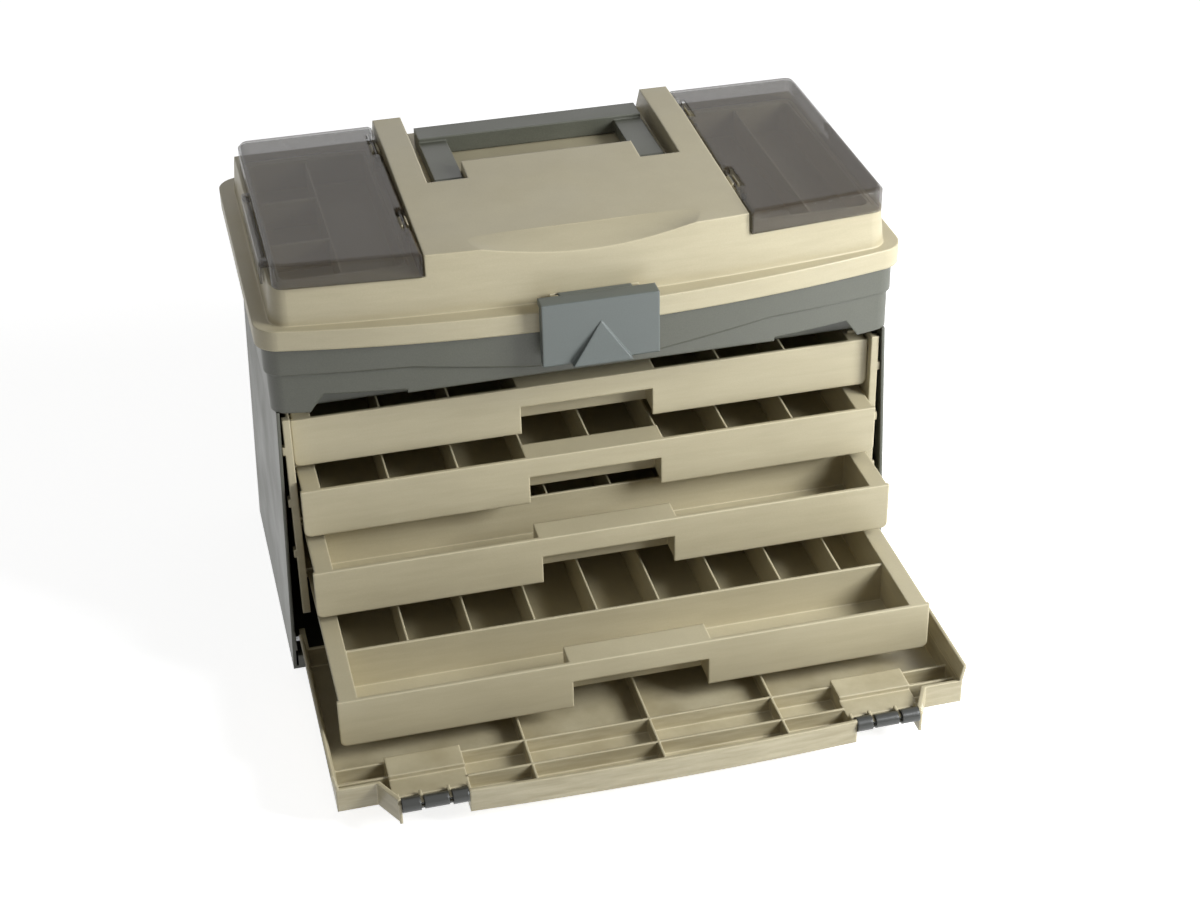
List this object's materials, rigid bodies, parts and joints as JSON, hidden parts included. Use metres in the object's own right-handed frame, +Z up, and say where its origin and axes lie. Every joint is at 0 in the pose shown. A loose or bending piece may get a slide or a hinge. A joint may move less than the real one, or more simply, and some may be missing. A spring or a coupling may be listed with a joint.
{
  "type": "fishing tackle cabinet",
  "caption": "Portable tackle cabinet with sliding lure drawers, a bulk bin, a hinged lid with see-through top wells, a folding handle and a stowing front door.",
  "frame": {"origin": "centre of the case's footprint, on the floor", "axes": "+X to the right seen from the front, +Y to the back, +Z up; stored as pictured, with the drawers staggered out and the door drawn out flat"},
  "size_m": [0.504, 0.5032, 0.369],
  "materials": {
    "sandstone_plastic": "satin",
    "charcoal_plastic": "satin",
    "slate_plastic": "satin",
    "black_plastic": "satin",
    "smoked_plastic": "gloss",
    "pin_steel": "plain"
  },
  "bodies": {
    "cabinet": {"case_shell": "charcoal_plastic", "runner_panel_left": "sandstone_plastic", "runner_panel_right": "sandstone_plastic", "upper_bin": "charcoal_plastic", "lid_hinge_pins": "pin_steel"},
    "lid": {"lid_shell": "sandstone_plastic", "left_well_tray": "sandstone_plastic", "right_well_tray": "sandstone_plastic", "left_well_dividers": "sandstone_plastic", "right_well_divider": "sandstone_plastic"},
    "left_cover": {"left_cover": "smoked_plastic"},
    "right_cover": {"right_cover": "smoked_plastic"},
    "left_clip": {"left_cover_clip": "smoked_plastic"},
    "right_clip": {"right_cover_clip": "smoked_plastic"},
    "handle": {"carry_handle": "charcoal_plastic"},
    "lid_latch": {"lid_latch": "slate_plastic"},
    "door_carriage": {"door_pivot_pins": "pin_steel"},
    "door": {"door_panel": "sandstone_plastic", "door_flange_left": "sandstone_plastic", "door_flange_right": "sandstone_plastic"},
    "door_latch_left": {"door_latch_left": "black_plastic"},
    "door_latch_right": {"door_latch_right": "black_plastic"},
    "drawer_1": {"drawer_1_tray": "sandstone_plastic", "drawer_1_dividers": "sandstone_plastic"},
    "drawer_2": {"drawer_2_tray": "sandstone_plastic", "drawer_2_dividers": "sandstone_plastic"},
    "drawer_3": {"drawer_3_tray": "sandstone_plastic", "drawer_3_dividers": "sandstone_plastic"},
    "drawer_4": {"drawer_4_tray": "sandstone_plastic", "drawer_4_dividers": "sandstone_plastic"}
  },
  "joints": [
    {"name": "lid_hinge", "type": "hinge", "parent": "cabinet", "child": "lid", "pos_m": [0, 0.1432, 0.294], "axis": [-1, 0, 0], "range_deg": [0, 100]},
    {"name": "handle_pivot", "type": "hinge", "parent": "lid", "child": "handle", "pos_m": [0, -0.01, 0.354], "axis": [1, 0, 0], "range_deg": [0, 90]},
    {"name": "left_cover_hinge", "type": "hinge", "parent": "lid", "child": "left_cover", "pos_m": [-0.129, 0, 0.3608], "axis": [0, 1, 0], "range_deg": [0, 90]},
    {"name": "right_cover_hinge", "type": "hinge", "parent": "lid", "child": "right_cover", "pos_m": [0.129, 0, 0.3608], "axis": [0, -1, 0], "range_deg": [0, 90]},
    {"name": "left_clip_hinge", "type": "hinge", "parent": "left_cover", "child": "left_clip", "pos_m": [-0.2384, 0, 0.3525], "axis": [0, 1, 0], "range_deg": [0, 90]},
    {"name": "right_clip_hinge", "type": "hinge", "parent": "right_cover", "child": "right_clip", "pos_m": [0.2384, 0, 0.3525], "axis": [0, -1, 0], "range_deg": [0, 90]},
    {"name": "lid_latch_hinge", "type": "hinge", "parent": "lid", "child": "lid_latch", "pos_m": [0, -0.1524, 0.3198], "axis": [-1, 0, 0], "range_deg": [0, 90]},
    {"name": "drawer_1_slide", "type": "slide", "parent": "cabinet", "child": "drawer_1", "axis": [0, -1, 0], "range_m": [-0.009, 0.176]},
    {"name": "drawer_2_slide", "type": "slide", "parent": "cabinet", "child": "drawer_2", "axis": [0, -1, 0], "range_m": [-0.034, 0.151]},
    {"name": "drawer_3_slide", "type": "slide", "parent": "cabinet", "child": "drawer_3", "axis": [0, -1, 0], "range_m": [-0.073, 0.112]},
    {"name": "drawer_4_slide", "type": "slide", "parent": "cabinet", "child": "drawer_4", "axis": [0, -1, 0], "range_m": [-0.17, 0.015]},
    {"name": "door_slide", "type": "slide", "parent": "cabinet", "child": "door_carriage", "axis": [0, -1, 0], "range_m": [-0.205, 0]},
    {"name": "door_tilt", "type": "hinge", "parent": "door_carriage", "child": "door", "pos_m": [0, -0.1227, 0.027], "axis": [1, 0, 0], "range_deg": [0, 3]},
    {"name": "door_latch_left_hinge", "type": "hinge", "parent": "door", "child": "door_latch_left", "pos_m": [-0.17375, -0.348, 0.0304], "axis": [-1, 0, 0], "range_deg": [0, 180]},
    {"name": "door_latch_right_hinge", "type": "hinge", "parent": "door", "child": "door_latch_right", "pos_m": [0.17375, -0.348, 0.0304], "axis": [-1, 0, 0], "range_deg": [0, 180]}
  ]
}
